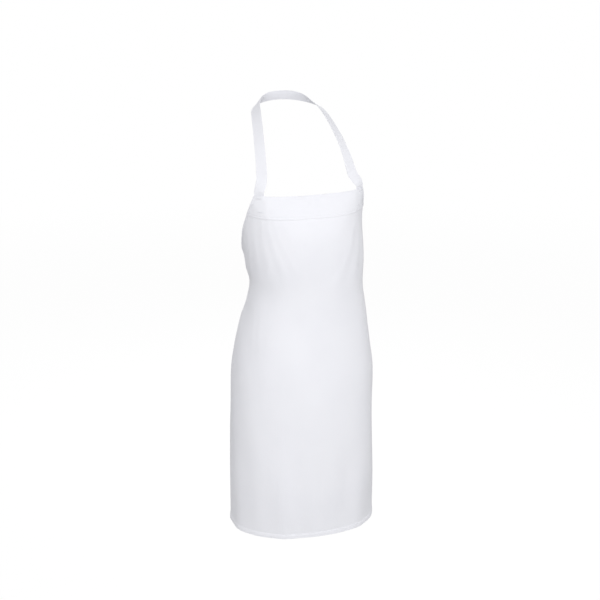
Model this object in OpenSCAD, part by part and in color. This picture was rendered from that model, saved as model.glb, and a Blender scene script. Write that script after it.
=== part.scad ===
// Butcher apron with a bib, shaped as it hangs when it is worn and tied.
// The origin is the middle of the neck loop, level with the tops of the shoulders.
// The front faces -Y, the wearer's left is +X and up is +Z. All sizes are in millimetres.

/* [Panel] */
// Finished length, from the top edge of the bib to the bottom edge
panel_length = 864; // [700:2:1040]
// Finished width of the skirt, from side edge to side edge
skirt_width = 610; // [500:2:740]
// Finished width of the bib along its top edge
bib_width = 274; // [220:2:330]
// Height of each armhole cut, from the top edge down to the side edge
armhole_depth = 228; // [190:2:276]
// Bow of the armhole cut: 1 is a straight cut, more is a hollow one
armhole_bow = 1.06; // [1:0.02:1.6]
// Thickness of one layer of the twill
cloth = 0.6; // [0.4:0.1:1]

/* [Hems] */
// Width of the turned hems at the sides and the bottom
hem_width = 12; // [8:1:20]
// Height of the facing strip behind the top of the bib
facing_depth = 50; // [36:1:70]
// Width of the tape that binds each armhole edge
binding_width = 8; // [6:0.5:11]
// Distance from the free edge of a hem or facing to its row of stitches
stitch_inset = 2; // [1.5:0.5:3]

/* [Straps] */
// Width of the neck strap and of the waist ties
strap_width = 25; // [18:1:32]
// Thickness of the folded and sewn strap
strap_thickness = 1.4; // [1:0.1:2]
// Length of the neck strap that is sewn down behind the facing
strap_seam = 44; // [30:1:48]
// Length of each waist tie that is sewn down inside the side edge
tie_seam = 28; // [20:1:40]
// Distance round the back between the two side edges at the waist ties
tie_gap = 160; // [110:2:220]
// Height of the shoulders above the top edge of the bib
neck_rise = 180; // [140:2:220]

/* [Bow] */
// Length of each loop of the bow, from the middle of the knot
loop_length = 108; // [80:1:140]
// Drop of the loops below level, in degrees
loop_droop = 25; // [15:1:32]
// Length of each hanging tail below the knot
tail_length = 400; // [260:5:520]
// Radius of the knot
knot_radius = 12; // [10:0.5:14]
// Height of the knot
knot_height = 24; // [20:1:30]

/* [Thread] */
// Width of a sewn row of thread
thread_width = 0.9; // [0.6:0.1:1.4]
// Height of a sewn row above the cloth
thread_height = 0.4; // [0.2:0.1:0.8]

/* [Hidden] */

// clearance between two layers of cloth that lie on each other
layer_gap = 0.2;
// clearance between a sewn row and the cloth under it
thread_gap = 0.1;
// share of the cloth's length that is height, since the front isn't plumb
fall = 0.992;
// the side edges hang this much higher at the bottom than the middle of the front
hem_rise = 10;

// offsets from the outer face of the panel, outwards positive
facing_out = -cloth - layer_gap;
facing_in = facing_out - cloth;
hem_in = facing_out - 2 * cloth;
binding_gap = 2 * layer_gap;
binding_far = binding_gap + cloth;
strap_out = -cloth - binding_far - 3 * layer_gap;
strap_in = strap_out - strap_thickness;
tie_out = hem_in - 3 * layer_gap;
tie_in = tie_out - strap_thickness;
row_in = thread_gap;
row_out = thread_gap + thread_height;

// Sections of the worn shape, one line per height:
// drop below the bib's top, half width, front, back, squareness, shift to the wearer's left
SECTIONS = [
    [-60, 152, -86, 92, 3.6, 0],
    [0, 150, -106, 95, 4, 0],
    [45, 151, -128, 100, 3, -3],
    [90, 150, -141, 100, 2.5, -4],
    [140, 149, -142, 93, 2.5, 1],
    [195, 144, -138, 82, 2.4, 7],
    [240, 139, -134, 77, 2.3, 10],
    [295, 151, -132, 86, 2.3, 9],
    [350, 163, -134, 99, 2.3, 6],
    [405, 173, -137, 108, 2.3, 5],
    [460, 180, -140, 112, 2.3, 5],
    [560, 182, -142, 113, 2.3, 4],
    [700, 185, -142, 113, 2.3, 4],
    [860, 188, -142, 113, 2.3, 4],
    [1100, 190, -142, 113, 2.3, 4]];
section_steps = 72;

// Centre line of the neck strap from the wearer's left side of the bib to the nape:
// [x, y, height above the bib as a share of neck_rise, then the way its outer face looks]
STRAP_ROUTE = [
    [110, -83, 0.20, 0.25, -0.96, 0.1],
    [104, -76, 0.43, 0.45, -0.86, 0.2],
    [97, -56, 0.65, 0.52, -0.70, 0.45],
    [88, -26, 0.85, 0.52, -0.40, 0.75],
    [80, 4, 0.97, 0.50, 0.00, 0.86],
    [73, 30, 1.01, 0.48, 0.30, 0.82],
    [58, 60, 1.05, 0.38, 0.70, 0.60],
    [32, 80, 1.08, 0.18, 0.90, 0.40],
    [0, 87, 1.09, 0, 0.94, 0.34]];
// the neck stands this far to the wearer's right of the middle of the bib
neck_shift = 24;
strap_steps = 4;

// numbers of cells across the panel and in its three stretches of height
panel_columns = 40;
bib_rows = 5;
armhole_rows = 20;
skirt_rows = 32;

// ---------- curves ----------
function mix(a, b, t) = a + (b - a) * t;
function ease(t) = let (u = min(1, max(0, t))) u * u * (3 - 2 * u);
function unit(v) = v / norm(v);
function steps(a, b, n) = [for (i = [0:n]) mix(a, b, i / n)];

// one point of a smooth curve through p1 and p2, with p0 and p3 as their neighbours
function spline_point(p0, p1, p2, p3, t) = 0.5 * (2 * p1 + (p2 - p0) * t
    + (2 * p0 - 5 * p1 + 4 * p2 - p3) * t * t + (3 * p1 - p0 - 3 * p2 + p3) * t * t * t);

// a smooth curve through all the points, with n steps between each pair
function spline(pts, n) = let (last = len(pts) - 1) [
    for (i = [0:last - 1], j = [0:n - 1])
        spline_point(i > 0 ? pts[i - 1] : 2 * pts[0] - pts[1], pts[i], pts[i + 1],
            i < last - 1 ? pts[i + 2] : 2 * pts[last] - pts[last - 1], j / n),
    pts[last]];

// ---------- the worn shape ----------
// the rate at which each column of SECTIONS changes at line i
function section_slope(i) = let (a = SECTIONS[max(0, i - 1)],
    b = SECTIONS[min(len(SECTIONS) - 1, i + 1)]) (b - a) / (b[0] - a[0]);

// the line of SECTIONS at any drop, by a smooth curve between the two lines around it
function section_at(drop) = let (
    i = max([0, for (k = [0:len(SECTIONS) - 2]) if (drop >= SECTIONS[k][0]) k]),
    a = SECTIONS[i], b = SECTIONS[i + 1], run = b[0] - a[0], t = (drop - a[0]) / run)
    a * (1 + 2 * t) * (1 - t) * (1 - t) + section_slope(i) * run * t * (1 - t) * (1 - t)
    + b * t * t * (3 - 2 * t) + section_slope(i + 1) * run * t * t * (t - 1);

// a point of the outline at a height, by the angle round from the middle of the front
function outline_point(line, a) = let (
    power = 2 / line[4], middle = 0.45 * line[2] + 0.55 * line[3],
    reach = a < 90 ? line[2] - middle : line[3] - middle)
    [line[1] * pow(abs(sin(a)), power), middle + reach * pow(abs(cos(a)), power)];

// half of the outline from front to back, as points and as the length up to each point
function outline(line) = [for (i = [0:section_steps])
    outline_point(line, 180 * i / section_steps)];
function run_along(pts) = [for (i = 0, far = 0; i < len(pts);
    far = far + (i < len(pts) - 1 ? norm(pts[i + 1] - pts[i]) : 0), i = i + 1) far];

tie_drop = armhole_depth + strap_width / 2 + 2;
tie_level_outline = run_along(outline(section_at(tie_drop * fall)));
// the worn shape is as big round as the skirt and the gap between its edges need
girth = (skirt_width + tie_gap) / (2 * tie_level_outline[section_steps]);

// tables of x and y against the distance round, for one height of the cloth
function level(v) = let (line = section_at(v * fall), pts = girth * outline(line),
    far = run_along(pts), n = section_steps)
    [[for (i = [0:n]) [far[i], pts[i][0]]], [for (i = [0:n]) [far[i], pts[i][1]]],
        far[n], line[5], -neck_rise - v * fall];

// a point on the panel: s is the distance round from the middle of the front, v the
// distance down from the bib's top, and off the distance out from the outer face
function sheet_point(lv, s, v, off) = let (
    a = abs(s), side = s < 0 ? -1 : 1, d = 3,
    p = [lookup(a, lv[0]), lookup(a, lv[1])],
    q = [lookup(a + d, lv[0]), lookup(a + d, lv[1])],
    r = a < d ? [-lookup(d - a, lv[0]), lookup(d - a, lv[1])]
        : [lookup(a - d, lv[0]), lookup(a - d, lv[1])],
    t = unit(q - r))
    [side * (p[0] + off * t[1]) + lv[3], p[1] - off * t[0],
        lv[4] + hem_rise * pow(a / (skirt_width / 2), 2) * ease((v - armhole_depth)
            / (panel_length - armhole_depth))];

// half the width of the panel at each distance down
function half_width(v) = bib_width / 2 + (skirt_width - bib_width) / 2
    * pow(min(1, v / armhole_depth), armhole_bow);

// ---------- solids ----------
// a closed solid between an outer and an inner grid of points; rows run down the cloth
// and columns run to the wearer's left
module slab(outer, inner) {
    rows = len(outer);
    cols = len(outer[0]);
    n = rows * cols;
    points = [for (g = [outer, inner], r = [0:rows - 1], c = [0:cols - 1]) g[r][c]];
    function o(r, c) = r * cols + c;
    function q(r, c) = n + r * cols + c;
    skin = [for (r = [0:rows - 2], c = [0:cols - 2]) each [
        [o(r, c), o(r, c + 1), o(r + 1, c + 1)], [o(r, c), o(r + 1, c + 1), o(r + 1, c)],
        [q(r, c), q(r + 1, c + 1), q(r, c + 1)], [q(r, c), q(r + 1, c), q(r + 1, c + 1)]]];
    ends = [for (c = [0:cols - 2]) each [
        [o(0, c), q(0, c), q(0, c + 1)], [o(0, c), q(0, c + 1), o(0, c + 1)],
        [o(rows - 1, c), o(rows - 1, c + 1), q(rows - 1, c + 1)],
        [o(rows - 1, c), q(rows - 1, c + 1), q(rows - 1, c)]]];
    sides = [for (r = [0:rows - 2]) each [
        [q(r, 0), o(r, 0), o(r + 1, 0)], [q(r, 0), o(r + 1, 0), q(r + 1, 0)],
        [o(r, cols - 1), q(r, cols - 1), q(r + 1, cols - 1)],
        [o(r, cols - 1), q(r + 1, cols - 1), o(r + 1, cols - 1)]]];
    polyhedron(points, concat(skin, ends, sides), convexity = 10);
}

// a layer of cloth on the panel, with columns(v) giving its distances round at each v
module layer(vs, columns, out, in) {
    levels = [for (v = vs) level(v)];
    function grid(off) = [for (i = [0:len(vs) - 1])
        [for (s = columns(vs[i])) sheet_point(levels[i], s, vs[i], off)]];
    slab(grid(out), grid(in));
}

// a flat ribbon along a route of [centre, normal, half width] stations
module ribbon(route, thick, shift = 0, lift = 0, narrow = 0) {
    last = len(route) - 1;
    function along(i) = unit(route[min(last, i + 1)][0] - route[max(0, i - 1)][0]);
    function across(i) = len(route[i]) > 3 ? route[i][3] : unit(cross(route[i][1], along(i)));
    function face(i) = unit(cross(along(i), across(i)));
    function grid(off) = [for (i = [0:last]) let (
        half = narrow > 0 ? narrow / 2 : route[i][2], mid = shift * (route[i][2] - 2.5))
        [for (k = [-1, 1]) route[i][0] + across(i) * (mid + k * half) + face(i) * off]];
    slab(grid(lift + thick / 2), grid(lift - thick / 2));
}

// ---------- panel, facing and hems ----------
facing_row = facing_depth - stitch_inset - 1;
bib_levels = steps(0, facing_row, bib_rows);
armhole_levels = steps(facing_row, armhole_depth, armhole_rows);
skirt_levels = steps(armhole_depth, panel_length - hem_width, skirt_rows);
panel_levels = concat(bib_levels, [for (i = [1:armhole_rows]) armhole_levels[i]],
    [for (i = [1:skirt_rows]) skirt_levels[i]], [panel_length]);
side_levels = concat(skirt_levels, [panel_length]);

// the columns inside the hems, which all the layers share so that their facets match
function edge_strip(v) = v < armhole_depth ? binding_width : hem_width;
function inner_columns(v) = let (h = half_width(v) - edge_strip(v))
    steps(-h, h, panel_columns - 2);
function panel_columns_at(v) = let (h = half_width(v)) concat([-h], inner_columns(v), [h]);

module body_panel() {
    color("white")
        layer(panel_levels, function (v) panel_columns_at(v), 0, -cloth);
}

module bib_facing() {
    color("whitesmoke")
        layer(concat(bib_levels, [facing_depth]), function (v) inner_columns(v),
            facing_out, facing_in);
}

// side is 1 for the wearer's left and -1 for the right
module side_hem(side) {
    color("whitesmoke")
        layer(side_levels, function (v) side > 0
            ? [half_width(v) - hem_width, half_width(v)]
            : [-half_width(v), hem_width - half_width(v)], facing_out, hem_in);
}

module bottom_hem() {
    inset = hem_width + layer_gap;
    color("whitesmoke")
        layer([panel_length - hem_width, panel_length], function (v)
            let (h = half_width(v) - inset) steps(-h, h, panel_columns - 2),
            facing_out, hem_in);
}

// the levels at which the armhole's binding and its stitches are drawn
binding_levels = concat([for (i = [0:bib_rows - 1]) bib_levels[i]],
    [for (i = [0:armhole_rows - 1]) armhole_levels[i]], [armhole_depth - layer_gap]);

// a point near the armhole's edge, in from the edge and out from the outer face
function binding_point(side, v, in, off) =
    sheet_point(level(v), side * (half_width(v) - in), v, off);

// tape folded round the armhole's edge, one leaf on each face of the panel
module armhole_binding(side) {
    function fold(leaf) = [for (v = binding_levels) let (
        points = [for (p = [[binding_width, 1], [-leaf, 1], [-leaf, -1], [binding_width, -1]])
            binding_point(side, v, p[0], p[1] > 0 ? leaf : -cloth - leaf)])
        side > 0 ? points : reversed(points)];
    color("white") slab(fold(binding_far), fold(binding_gap));
}

module care_label() {
    label_half = 16;
    label_top = facing_depth + 1;
    color("gainsboro")
        layer([label_top, label_top + 26], function (v) steps(-label_half, label_half, 6),
            facing_out - 0.1, facing_out - 0.4);
}

// ---------- neck strap ----------
strap_middle = (strap_out + strap_in) / 2;
strap_at = bib_width / 2 - strap_width / 2;
function reversed(list) = [for (i = [len(list) - 1:-1:0]) list[i]];
// the free strap starts this far above the top edge, clear of the sewn end and the binding
strap_start = 0.8;
// how far the neck's shift has moved the strap at a share of neck_rise
function leaning(share) = -neck_shift * min(1, share);

// how far a wider bib spreads the route, which was laid from this far off the middle
route_base = 124.5;
function spread(share) = (strap_at - route_base) * pow(max(0, 1 - share), 2);

// one side of the strap from the bib's top edge to the nape, as [centre, face, half width,
// and at the first station the level way across]
function strap_side(side) = let (
    lv = level(0), p0 = sheet_point(lv, side * strap_at, 0, strap_middle),
    face0 = p0 - sheet_point(lv, side * strap_at, 0, strap_middle - 1),
    ends = [for (rise = [strap_start, 12]) concat(p0 + [0, 0, rise], face0)],
    rest = [for (r = STRAP_ROUTE) [side * (r[0] + spread(r[2])) + leaning(r[2]), r[1],
        (r[2] - 1) * neck_rise, side * r[3], r[4], r[5]]],
    way = spline(concat(ends, rest), strap_steps))
    [for (i = [0:len(way) - 1]) let (p = way[i], n = unit([p[3], p[4], p[5]]))
        concat([[p[0], p[1], p[2]], n, strap_width / 2],
            i > 0 ? [] : [unit(cross(n, [0, 0, 1]))])];

// the right side runs down from the nape, so its last station is turned about
neck_route = let (left = strap_side(1), right = strap_side(-1), last = len(right) - 1)
    concat(left, [for (i = [last - 1:-1:1]) right[i]],
        [[right[0][0], right[0][1], right[0][2], -right[0][3]]]);

module neck_strap() {
    color("white") ribbon(neck_route, strap_thickness);
}

// the end of the strap below the top edge, sewn down behind the facing
module neck_strap_end(side) {
    color("white")
        layer([layer_gap, for (v = bib_levels) if (v > 0 && v < strap_seam) v, strap_seam],
            function (v) steps(side * strap_at - strap_width / 2,
                side * strap_at + strap_width / 2, 5), strap_out, strap_in);
}

// the rows of stitches along the two edges of a ribbon
module edge_rows(route, first, last) {
    part = [for (i = [first:last]) route[i]];
    for (k = [-1, 1])
        ribbon(part, thread_height, shift = k, narrow = thread_width,
            lift = strap_thickness / 2 + 3 * thread_gap + thread_height / 2);
}

module neck_strap_stitching() {
    // the rows start clear of the fold at the bib's top edge
    first = 1;
    color("gainsboro") edge_rows(neck_route, first, len(neck_route) - 1 - first);
}

// ---------- waist ties and bow ----------
tie_level = level(tie_drop);
tie_height = tie_level[4];
back_middle = tie_level[2];
back_y = lookup(back_middle, tie_level[1]);
knot = [tie_level[3], back_y + 8, tie_height];

// the tie runs on round the back, then rises off the body and gathers into the knot
tie_turn = back_middle - 42;
tie_stop = back_middle - knot_radius + 0.3;
tie_end_half = 6.5;
tie_stations = concat(steps(skirt_width / 2 - tie_seam, tie_turn, 8),
    [for (i = [1:8]) mix(tie_turn, tie_stop, i / 8)]);
function tie_gather(s) = ease((s - tie_turn) / (tie_stop - tie_turn));
function tie_half(s) = mix(strap_width / 2, tie_end_half, tie_gather(s));

// a point of the tie: s is the distance round, down is from its middle line and out is
// from its middle layer
function tie_point(side, s, down, out) = sheet_point(level(tie_drop + down), side * s,
    tie_drop + down, mix((tie_out + tie_in) / 2, 3, tie_gather(s)) + out);

// a strip of the tie between two stations; edges(s) gives its lower and upper edges
module tie_strip(side, first, last, edges, out, in) {
    function grid(off) = [for (i = [first:last]) let (s = tie_stations[i], e = edges(s),
        ks = steps(e[0], e[1], 4)) [for (k = side > 0 ? ks : reversed(ks))
            tie_point(side, s, k, off)]];
    slab(grid(out), grid(in));
}

module waist_tie(side) {
    color("white")
        tie_strip(side, 0, len(tie_stations) - 1, function (s) [tie_half(s), -tie_half(s)],
            strap_thickness / 2, -strap_thickness / 2);
}

module waist_tie_stitching(side) {
    // the rows show on the free part of the tie, between the side edge and the knot
    base = strap_thickness / 2 + 2 * thread_gap;
    for (k = [-1, 1])
        color("gainsboro")
            tie_strip(side, 4, 13, function (s) let (row = k * (tie_half(s) - 2.5))
                [row + thread_width / 2, row - thread_width / 2],
                base + thread_height, base);
}

module bow_knot() {
    r = knot_radius;
    h = knot_height / 2;
    soft = 5;
    color("white") {
        translate(knot) rotate_extrude($fn = 48)
            intersection() {
                translate([0, -h]) square([r, 2 * h]);
                union() {
                    translate([0, soft - h]) square([r, 2 * (h - soft)]);
                    translate([0, -h]) square([r - soft, 2 * h]);
                    for (k = [-1, 1])
                        translate([r - soft, k * (h - soft)]) circle(soft, $fn = 48);
                }
            }
    }
}

// A loop of the bow in its own plane, as [distance out, height off, half width]:
// out along the side next to the body, round the end and back on the outside
LOOP_ROUTE = [[0.14, 2.2, 5.6], [0.30, 0, 10.5], [0.55, -1.5, 12.5], [0.80, -1, 12.5],
    [0.95, 2.5, 12.5], [1.0, 8, 12.5], [0.95, 13.5, 12.5], [0.80, 16.5, 12.5],
    [0.55, 15.5, 12.5], [0.30, 11, 10.5], [0.14, 6.4, 5.6]];
loop_way = [cos(loop_droop), 0, -sin(loop_droop)];

function loop_route(side) = let (
    pts = spline([for (p = LOOP_ROUTE)
        [p[0] * loop_length, p[1], p[2] * strap_width / 25]], 4), last = len(pts) - 1,
    way = [side * loop_way[0], 0, loop_way[2]])
    [for (i = [0:last]) let (a = pts[max(0, i - 1)], b = pts[min(last, i + 1)],
        step = unit([b[0] - a[0], b[1] - a[1]]))
        [knot + way * pts[i][0] + [0, pts[i][1], 0],
            side * (way * step[1] - [0, step[0], 0]), pts[i][2]]];

module bow_loop(side) {
    color("white") ribbon(loop_route(side), strap_thickness);
}

// A tail of the bow, as [share of its length, x and y off the knot, half width]
TAIL_ROUTE = [[0, 6, -1, 5.2], [0.02, 6.1, -1, 5.4], [0.05, 8, 0, 7], [0.1, 12, 3, 10.8],
    [0.25, 16, 11, 12.5], [0.5, 18, 16, 12.5], [0.75, 22, 17, 12.5], [1, 24, 16, 12.5]];
tail_top = knot_height / 2 + 0.9;

function tail_route(side) = [for (p = spline([for (r = TAIL_ROUTE)
    [side * r[1] * strap_width / 25, r[2], -tail_top - r[0] * tail_length,
        r[3] * strap_width / 25]], 4))
    [knot + [p[0], p[1], p[2]], [0, 1, 0], p[3]]];

module tie_tail(side) {
    color("white") ribbon(tail_route(side), strap_thickness);
}

// ---------- sewn rows ----------
module facing_stitching() {
    color("gainsboro")
        layer([facing_row - thread_width / 2, facing_row + thread_width / 2],
            function (v) let (h = half_width(facing_row) - hem_width)
                steps(-h, h, panel_columns - 2), row_out, row_in);
}

module bottom_stitching() {
    v0 = panel_length - hem_width + stitch_inset;
    color("gainsboro")
        layer([v0 - thread_width / 2, v0 + thread_width / 2], function (v)
            let (h = half_width(v) - hem_width) steps(-h, h, panel_columns - 2),
            row_out, row_in);
}

module side_stitching(side) {
    color("gainsboro")
        layer([for (i = [1:len(side_levels) - 2]) side_levels[i]], function (v)
            let (s = half_width(v) - hem_width + stitch_inset)
            side > 0 ? [s - thread_width / 2, s + thread_width / 2]
                : [-s - thread_width / 2, -s + thread_width / 2], row_out, row_in);
}

module armhole_stitching(side) {
    at = binding_width - stitch_inset;
    function strip(off) = [for (i = [1:len(binding_levels) - 2])
        [for (k = [side, -side]) binding_point(side, binding_levels[i],
            at + k * thread_width / 2, off)]];
    base = binding_far + 2 * thread_gap;
    color("gainsboro") slab(strip(base + thread_height), strip(base));
}

// two bars of close stitches across the sewn end of the neck strap
module neck_bartack(side) {
    for (v = [7, strap_seam - 7])
        color("gainsboro")
            layer([v - 1.1, v + 1.1], function (v) steps(side * strap_at - 7,
                side * strap_at + 7, 2), row_out + 0.3, row_in + 0.1);
}

// two upright bars of close stitches through the sewn end of the waist tie
module waist_bartack(side) {
    for (s = [skirt_width / 2 - 6, skirt_width / 2 - tie_seam + 5])
        color("gainsboro")
            layer(steps(tie_drop - 8, tie_drop + 8, 4),
                function (v) [side * s - 1.1, side * s + 1.1], row_out + 0.6,
                row_in + 0.4);
}

body_panel();
bib_facing();
armhole_binding(1);  // armhole_binding_left
armhole_binding(-1);  // armhole_binding_right
side_hem(1);  // side_hem_left
side_hem(-1);  // side_hem_right
bottom_hem();
neck_strap();
neck_strap_end(1);  // neck_strap_end_left
neck_strap_end(-1);  // neck_strap_end_right
waist_tie(1);  // waist_tie_left
waist_tie(-1);  // waist_tie_right
bow_knot();
bow_loop(1);  // bow_loop_left
bow_loop(-1);  // bow_loop_right
tie_tail(1);  // tie_tail_left
tie_tail(-1);  // tie_tail_right
neck_bartack(1);  // neck_bartack_left
neck_bartack(-1);  // neck_bartack_right
waist_bartack(1);  // waist_bartack_left
waist_bartack(-1);  // waist_bartack_right
facing_stitching();
armhole_stitching(1);  // armhole_stitching_left
armhole_stitching(-1);  // armhole_stitching_right
side_stitching(1);  // side_stitching_left
side_stitching(-1);  // side_stitching_right
bottom_stitching();
neck_strap_stitching();
waist_tie_stitching(1);  // waist_tie_stitching_left
waist_tie_stitching(-1);  // waist_tie_stitching_right
care_label();
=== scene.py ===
"""A white butcher apron as it is worn: draped twill, sewn hems, neck strap, waist ties and bow."""

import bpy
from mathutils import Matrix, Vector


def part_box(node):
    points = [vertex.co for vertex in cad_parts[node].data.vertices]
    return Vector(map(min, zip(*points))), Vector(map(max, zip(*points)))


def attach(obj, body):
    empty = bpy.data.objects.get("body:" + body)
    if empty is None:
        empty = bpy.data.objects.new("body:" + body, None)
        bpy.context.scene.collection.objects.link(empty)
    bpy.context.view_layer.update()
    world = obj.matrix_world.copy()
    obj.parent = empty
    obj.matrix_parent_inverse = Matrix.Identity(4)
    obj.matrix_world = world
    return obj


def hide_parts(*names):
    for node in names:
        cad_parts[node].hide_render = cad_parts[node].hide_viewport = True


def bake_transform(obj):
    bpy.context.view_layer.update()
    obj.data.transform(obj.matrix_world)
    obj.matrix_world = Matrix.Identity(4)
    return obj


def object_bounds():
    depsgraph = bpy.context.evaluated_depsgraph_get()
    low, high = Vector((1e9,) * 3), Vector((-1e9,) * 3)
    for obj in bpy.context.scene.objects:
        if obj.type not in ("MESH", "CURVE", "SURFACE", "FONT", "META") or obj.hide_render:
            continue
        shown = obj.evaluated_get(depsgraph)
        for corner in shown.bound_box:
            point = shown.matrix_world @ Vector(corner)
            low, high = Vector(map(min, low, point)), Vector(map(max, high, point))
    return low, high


bl_info = {
    "name": "Butcher Apron",
    "version": (1, 0, 0),
    "blender": (4, 5, 0),
    "location": "View3D > Sidebar > Apron",
    "description": "Drapes, sews and lights a white butcher apron around its packed frame",
    "category": "Object",
}

import math

import bpy
import numpy as np
from bpy.props import FloatProperty, FloatVectorProperty, PointerProperty
from mathutils import Vector

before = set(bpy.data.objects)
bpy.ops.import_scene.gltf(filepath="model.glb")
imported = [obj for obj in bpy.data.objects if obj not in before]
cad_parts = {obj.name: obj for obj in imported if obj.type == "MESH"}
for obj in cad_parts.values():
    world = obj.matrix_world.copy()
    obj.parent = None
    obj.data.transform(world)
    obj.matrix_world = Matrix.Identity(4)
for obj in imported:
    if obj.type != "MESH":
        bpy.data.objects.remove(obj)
CAD_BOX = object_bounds()

LEFT, RIGHT = 1, -1
SIDE_NAME = {LEFT: "left", RIGHT: "right"}


# ---------------------------------------------------------------- settings
def length(name, description, default):
    return FloatProperty(name=name, description=description, default=default, unit="LENGTH")


class ApronCut(bpy.types.PropertyGroup):
    """Sizes of the pieces of cloth, as they are cut and folded."""
    panel_length: length("Panel length", "From the top edge of the bib to the bottom edge", 0.864)
    skirt_width: length("Skirt width", "From side edge to side edge, laid flat", 0.610)
    bib_width: length("Bib width", "Along the top edge, laid flat", 0.274)
    armhole_depth: length("Armhole depth", "Height of each armhole cut", 0.228)
    facing_depth: length("Facing depth", "Height of the strip behind the top of the bib", 0.050)
    hem_width: length("Hem width", "Width of the turned hems", 0.012)
    binding_width: length("Binding width", "Width of the tape round each armhole edge", 0.0075)
    strap_width: length("Strap width", "Width of the neck strap and of the ties", 0.025)
    strap_seam: length("Strap seam", "Length of strap sewn down behind the facing", 0.044)
    tie_seam: length("Tie seam", "Length of tie sewn down inside the side edge", 0.028)
    twill: length("Twill thickness", "Thickness of one layer of the cloth", 0.0006)
    strap_thickness: length("Strap thickness", "Thickness of the folded strap", 0.0015)
    rumple: length("Rumple", "Height of the small wrinkles left by wear", 0.0022)
    crease: length("Creases", "Depth of the short creases at the sewn ends", 0.0014)
    fold: length("Folds", "Depth of the soft upright folds in the free lower part", 0.0011)
    swing: length("Swing", "How far the free bottom edge hangs back", 0.003)


class ApronSewing(bpy.types.PropertyGroup):
    """Sizes of the sewing thread and of its rows."""
    inset: length("Row inset", "From a fold or free edge to its row of stitches", 0.002)
    stitch: length("Stitch length", "Length of one stitch", 0.0027)
    pitch: length("Stitch pitch", "From one stitch to the next", 0.0033)
    thread: length("Thread", "Thickness of the sewing thread", 0.0006)
    pucker: length("Pucker", "How far the cloth puckers along a row", 0.0005)


class ApronFinish(bpy.types.PropertyGroup):
    """Colours and scale of the cloth's finish."""
    cloth: FloatVectorProperty(
        name="Cloth", description="Bleached twill", subtype="COLOR", size=3,
        min=0, max=1, default=(0.870, 0.874, 0.916))
    # darker end of the twill's colour. It paints crease shade in cloudy patches and shade in the
    # grooves between the ribs, and it greys the slubs
    crease: FloatVectorProperty(
        name="Crease", description="Twill where it is a little thinner and greyer", subtype="COLOR",
        size=3, min=0, max=1, default=(0.80, 0.806, 0.862))
    thread: FloatVectorProperty(
        name="Thread", description="Sewing thread", subtype="COLOR", size=3,
        min=0, max=1, default=(0.90, 0.905, 0.94))
    label: FloatVectorProperty(
        name="Label", description="Blank satin label", subtype="COLOR", size=3,
        min=0, max=1, default=(0.84, 0.84, 0.86))
    twill_pitch: length("Twill pitch", "Distance between two ribs of the twill", 0.0011)


class ApronStage(bpy.types.PropertyGroup):
    """The floor, the lamps and the camera."""
    azimuth: FloatProperty(
        name="Azimuth", description="Camera's turn round the apron from straight in front",
        default=math.radians(-16.5), subtype="ANGLE")
    elevation: FloatProperty(
        name="Elevation", description="Camera's height as an angle", default=math.radians(18.4),
        subtype="ANGLE")
    distance: length("Distance", "From the camera to the point it looks at", 4.5)
    view_width: length("View width", "Width that the frame covers at that point", 1.452)
    floor_drop: length("Floor drop", "From the bottom edge of the apron to the floor", 0.42)


# ---------------------------------------------------------------- the frame's measures
def box_of(node):
    low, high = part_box(node)
    return np.array(low), np.array(high)


def knot_middle():
    low, high = box_of("bow_knot")
    return (low + high) / 2


def smooth(t):
    """0 to 1 with level ends."""
    t = np.clip(t, 0.0, 1.0)
    return t * t * (3 - 2 * t)


def unit(v):
    v = np.asarray(v, float)
    return v / np.maximum(np.linalg.norm(v, axis=-1, keepdims=True), 1e-12)


def spline(points, steps):
    """A smooth curve through the points, with so many steps between each pair."""
    p = np.asarray(points, float)
    p = np.vstack([2 * p[0] - p[1], p, 2 * p[-1] - p[-2]])
    t = (np.arange(steps) / steps)[:, None]
    runs = []
    for a, b, c, d in zip(p[:-3], p[1:-2], p[2:-1], p[3:]):
        runs.append(0.5 * (2 * b + (c - a) * t + (2 * a - 5 * b + 4 * c - d) * t ** 2
                           + (3 * b - a - 3 * c + d) * t ** 3))
    return np.vstack(runs + [p[-2][None]])


def arc_lengths(points):
    return np.concatenate([[0], np.cumsum(np.linalg.norm(np.diff(points, axis=0), axis=1))])


def blur(grid, times):
    """Evens out a grid of points, and leaves its border where it is."""
    grid = grid.copy()
    for _ in range(times):
        middle = grid[1:-1, 1:-1]
        around = (grid[:-2, 1:-1] + grid[2:, 1:-1] + grid[1:-1, :-2] + grid[1:-1, 2:]) / 4
        grid[1:-1, 1:-1] = (middle + around) / 2
    return grid


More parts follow.
